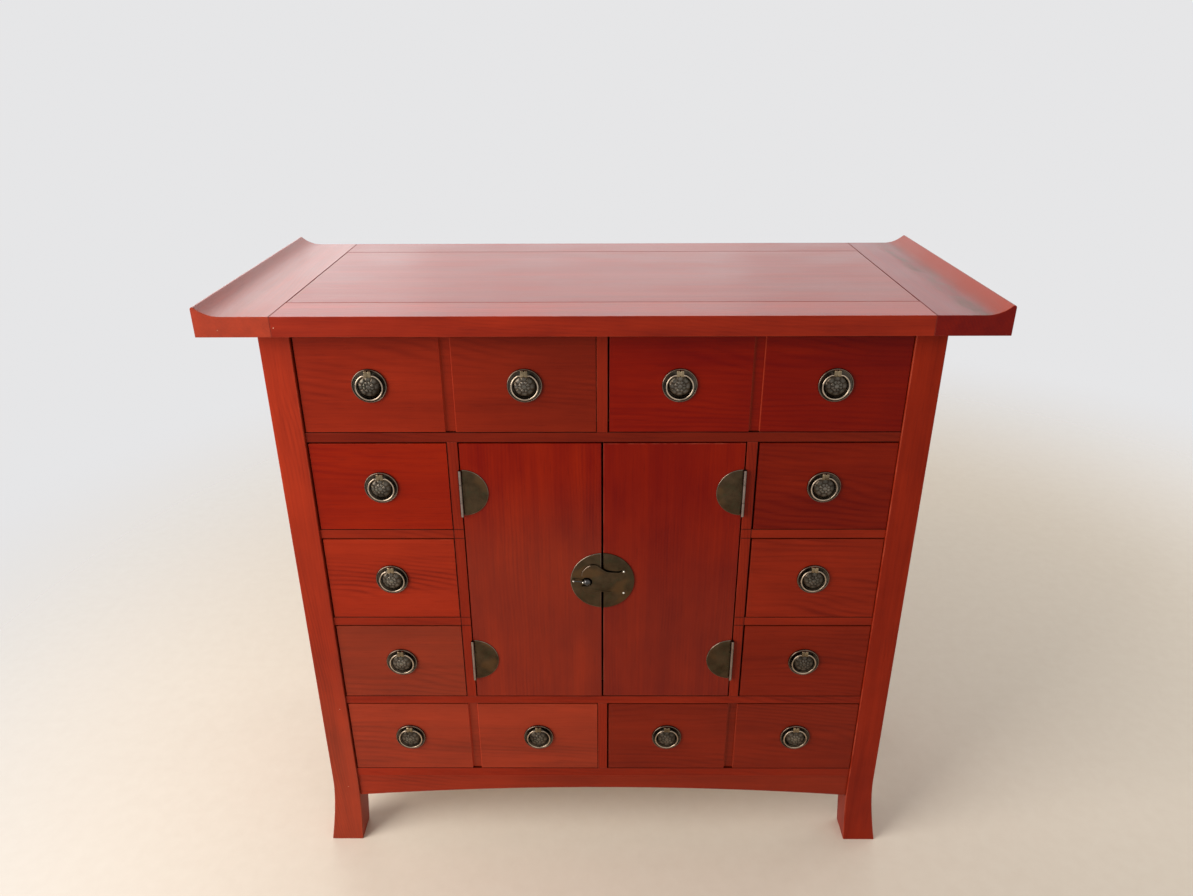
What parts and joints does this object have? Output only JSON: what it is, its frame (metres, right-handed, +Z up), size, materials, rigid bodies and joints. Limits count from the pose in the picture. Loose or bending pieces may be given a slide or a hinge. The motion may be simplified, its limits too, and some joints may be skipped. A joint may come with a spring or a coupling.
{
  "type": "chinese wedding cabinet",
  "caption": "Red lacquered altar-top cabinet with upturned end flanges, ring-pull drawers around a pair of hinged doors, a round brass lock plate and outward-kicking feet",
  "frame": {"origin": "middle of the floor area under the cabinet, on the floor", "axes": "+X to the cabinet's right as seen from the front, +Y to the back, +Z up; the front faces -Y"},
  "size_m": [0.998, 0.428, 0.915],
  "materials": {
    "red_lacquer": "semi-gloss red lacquer over visible grain, worn at the edges",
    "inner_wood": "bare oiled softwood",
    "lock_bronze": "dark aged brass with brighter worn edges",
    "ring_bronze": "dark aged brass, polished by handling"
  },
  "bodies": {
    "carcass": {"top_panel": "red_lacquer", "top_front_rail": "red_lacquer", "top_back_rail": "red_lacquer", "top_end_left": "red_lacquer", "top_end_right": "red_lacquer", "post_front_left": "red_lacquer", "post_front_right": "red_lacquer", "post_back_left": "red_lacquer", "post_back_right": "red_lacquer", "upper_rail": "red_lacquer", "lower_rail": "red_lacquer", "bottom_rail": "red_lacquer", "apron": "red_lacquer", "front_dividers": "red_lacquer", "side_frames": "red_lacquer", "back_panel": "inner_wood", "inner_boards": "inner_wood", "drawer_runners": "inner_wood", "frame_hinges": "lock_bronze"},
    "left_door_body": {"left_door": "red_lacquer", "left_door_hinges": "lock_bronze", "left_lock_plate": "lock_bronze"},
    "right_door_body": {"right_door": "red_lacquer", "right_door_hinges": "lock_bronze", "right_lock_plate": "lock_bronze"},
    "turn_button_body": {"turn_button": "lock_bronze"},
    "top_left_drawer_body": {"top_left_drawer": "red_lacquer", "top_left_pull_plates": "lock_bronze"},
    "top_left_outer_ring_body": {"top_left_outer_ring": "ring_bronze"},
    "top_left_inner_ring_body": {"top_left_inner_ring": "ring_bronze"},
    "second_left_drawer_body": {"second_left_drawer": "red_lacquer", "second_left_pull_plates": "lock_bronze"},
    "second_left_ring_body": {"second_left_ring": "ring_bronze"},
    "third_left_drawer_body": {"third_left_drawer": "red_lacquer", "third_left_pull_plates": "lock_bronze"},
    "third_left_ring_body": {"third_left_ring": "ring_bronze"},
    "fourth_left_drawer_body": {"fourth_left_drawer": "red_lacquer", "fourth_left_pull_plates": "lock_bronze"},
    "fourth_left_ring_body": {"fourth_left_ring": "ring_bronze"},
    "bottom_left_drawer_body": {"bottom_left_drawer": "red_lacquer", "bottom_left_pull_plates": "lock_bronze"},
    "bottom_left_outer_ring_body": {"bottom_left_outer_ring": "ring_bronze"},
    "bottom_left_inner_ring_body": {"bottom_left_inner_ring": "ring_bronze"},
    "top_right_drawer_body": {"top_right_drawer": "red_lacquer", "top_right_pull_plates": "lock_bronze"},
    "top_right_outer_ring_body": {"top_right_outer_ring": "ring_bronze"},
    "top_right_inner_ring_body": {"top_right_inner_ring": "ring_bronze"},
    "second_right_drawer_body": {"second_right_drawer": "red_lacquer", "second_right_pull_plates": "lock_bronze"},
    "second_right_ring_body": {"second_right_ring": "ring_bronze"},
    "third_right_drawer_body": {"third_right_drawer": "red_lacquer", "third_right_pull_plates": "lock_bronze"},
    "third_right_ring_body": {"third_right_ring": "ring_bronze"},
    "fourth_right_drawer_body": {"fourth_right_drawer": "red_lacquer", "fourth_right_pull_plates": "lock_bronze"},
    "fourth_right_ring_body": {"fourth_right_ring": "ring_bronze"},
    "bottom_right_drawer_body": {"bottom_right_drawer": "red_lacquer", "bottom_right_pull_plates": "lock_bronze"},
    "bottom_right_outer_ring_body": {"bottom_right_outer_ring": "ring_bronze"},
    "bottom_right_inner_ring_body": {"bottom_right_inner_ring": "ring_bronze"}
  },
  "joints": [
    {"name": "right_door_hinge", "type": "hinge", "parent": "carcass", "child": "right_door_body", "pos_m": [0.1916, -0.19, 0.5105], "axis": [0, 0, 1], "range_deg": [0, 90]},
    {"name": "left_door_hinge", "type": "hinge", "parent": "carcass", "child": "left_door_body", "pos_m": [-0.1916, -0.19, 0.5105], "axis": [0, 0, -1], "range_deg": [0, 90]},
    {"name": "turn_button_pivot", "type": "hinge", "parent": "left_door_body", "child": "turn_button_body", "pos_m": [-0.0217, -0.186, 0.506], "axis": [0, -1, 0], "range_deg": [0, 90]},
    {"name": "top_left_drawer_slide", "type": "slide", "parent": "carcass", "child": "top_left_drawer_body", "axis": [0, -1, 0], "range_m": [0, 0.26]},
    {"name": "top_left_outer_ring_pivot", "type": "hinge", "parent": "top_left_drawer_body", "child": "top_left_outer_ring_body", "pos_m": [-0.29975, -0.1898, 0.81756], "axis": [-1, 0, 0], "range_deg": [0, 100]},
    {"name": "top_left_inner_ring_pivot", "type": "hinge", "parent": "top_left_drawer_body", "child": "top_left_inner_ring_body", "pos_m": [-0.09975, -0.1898, 0.81756], "axis": [-1, 0, 0], "range_deg": [0, 100]},
    {"name": "second_left_drawer_slide", "type": "slide", "parent": "carcass", "child": "second_left_drawer_body", "axis": [0, -1, 0], "range_m": [0, 0.26]},
    {"name": "second_left_ring_pivot", "type": "hinge", "parent": "second_left_drawer_body", "child": "second_left_ring_body", "pos_m": [-0.29975, -0.1898, 0.67056], "axis": [-1, 0, 0], "range_deg": [0, 100]},
    {"name": "third_left_drawer_slide", "type": "slide", "parent": "carcass", "child": "third_left_drawer_body", "axis": [0, -1, 0], "range_m": [0, 0.26]},
    {"name": "third_left_ring_pivot", "type": "hinge", "parent": "third_left_drawer_body", "child": "third_left_ring_body", "pos_m": [-0.29975, -0.1898, 0.52356], "axis": [-1, 0, 0], "range_deg": [0, 100]},
    {"name": "fourth_left_drawer_slide", "type": "slide", "parent": "carcass", "child": "fourth_left_drawer_body", "axis": [0, -1, 0], "range_m": [0, 0.26]},
    {"name": "fourth_left_ring_pivot", "type": "hinge", "parent": "fourth_left_drawer_body", "child": "fourth_left_ring_body", "pos_m": [-0.29975, -0.1898, 0.37756], "axis": [-1, 0, 0], "range_deg": [0, 100]},
    {"name": "bottom_left_drawer_slide", "type": "slide", "parent": "carcass", "child": "bottom_left_drawer_body", "axis": [0, -1, 0], "range_m": [0, 0.26]},
    {"name": "bottom_left_outer_ring_pivot", "type": "hinge", "parent": "bottom_left_drawer_body", "child": "bottom_left_outer_ring_body", "pos_m": [-0.29975, -0.1898, 0.23256], "axis": [-1, 0, 0], "range_deg": [0, 100]},
    {"name": "bottom_left_inner_ring_pivot", "type": "hinge", "parent": "bottom_left_drawer_body", "child": "bottom_left_inner_ring_body", "pos_m": [-0.09975, -0.1898, 0.23256], "axis": [-1, 0, 0], "range_deg": [0, 100]},
    {"name": "top_right_drawer_slide", "type": "slide", "parent": "carcass", "child": "top_right_drawer_body", "axis": [0, -1, 0], "range_m": [0, 0.26]},
    {"name": "top_right_outer_ring_pivot", "type": "hinge", "parent": "top_right_drawer_body", "child": "top_right_outer_ring_body", "pos_m": [0.29975, -0.1898, 0.81756], "axis": [-1, 0, 0], "range_deg": [0, 100]},
    {"name": "top_right_inner_ring_pivot", "type": "hinge", "parent": "top_right_drawer_body", "child": "top_right_inner_ring_body", "pos_m": [0.09975, -0.1898, 0.81756], "axis": [-1, 0, 0], "range_deg": [0, 100]},
    {"name": "second_right_drawer_slide", "type": "slide", "parent": "carcass", "child": "second_right_drawer_body", "axis": [0, -1, 0], "range_m": [0, 0.26]},
    {"name": "second_right_ring_pivot", "type": "hinge", "parent": "second_right_drawer_body", "child": "second_right_ring_body", "pos_m": [0.29975, -0.1898, 0.67056], "axis": [-1, 0, 0], "range_deg": [0, 100]},
    {"name": "third_right_drawer_slide", "type": "slide", "parent": "carcass", "child": "third_right_drawer_body", "axis": [0, -1, 0], "range_m": [0, 0.26]},
    {"name": "third_right_ring_pivot", "type": "hinge", "parent": "third_right_drawer_body", "child": "third_right_ring_body", "pos_m": [0.29975, -0.1898, 0.52356], "axis": [-1, 0, 0], "range_deg": [0, 100]},
    {"name": "fourth_right_drawer_slide", "type": "slide", "parent": "carcass", "child": "fourth_right_drawer_body", "axis": [0, -1, 0], "range_m": [0, 0.26]},
    {"name": "fourth_right_ring_pivot", "type": "hinge", "parent": "fourth_right_drawer_body", "child": "fourth_right_ring_body", "pos_m": [0.29975, -0.1898, 0.37756], "axis": [-1, 0, 0], "range_deg": [0, 100]},
    {"name": "bottom_right_drawer_slide", "type": "slide", "parent": "carcass", "child": "bottom_right_drawer_body", "axis": [0, -1, 0], "range_m": [0, 0.26]},
    {"name": "bottom_right_outer_ring_pivot", "type": "hinge", "parent": "bottom_right_drawer_body", "child": "bottom_right_outer_ring_body", "pos_m": [0.29975, -0.1898, 0.23256], "axis": [-1, 0, 0], "range_deg": [0, 100]},
    {"name": "bottom_right_inner_ring_pivot", "type": "hinge", "parent": "bottom_right_drawer_body", "child": "bottom_right_inner_ring_body", "pos_m": [0.09975, -0.1898, 0.23256], "axis": [-1, 0, 0], "range_deg": [0, 100]}
  ],
  "couplings": [
    {"joint": "left_door_hinge", "follows": "right_door_hinge", "ratio": 1}
  ]
}
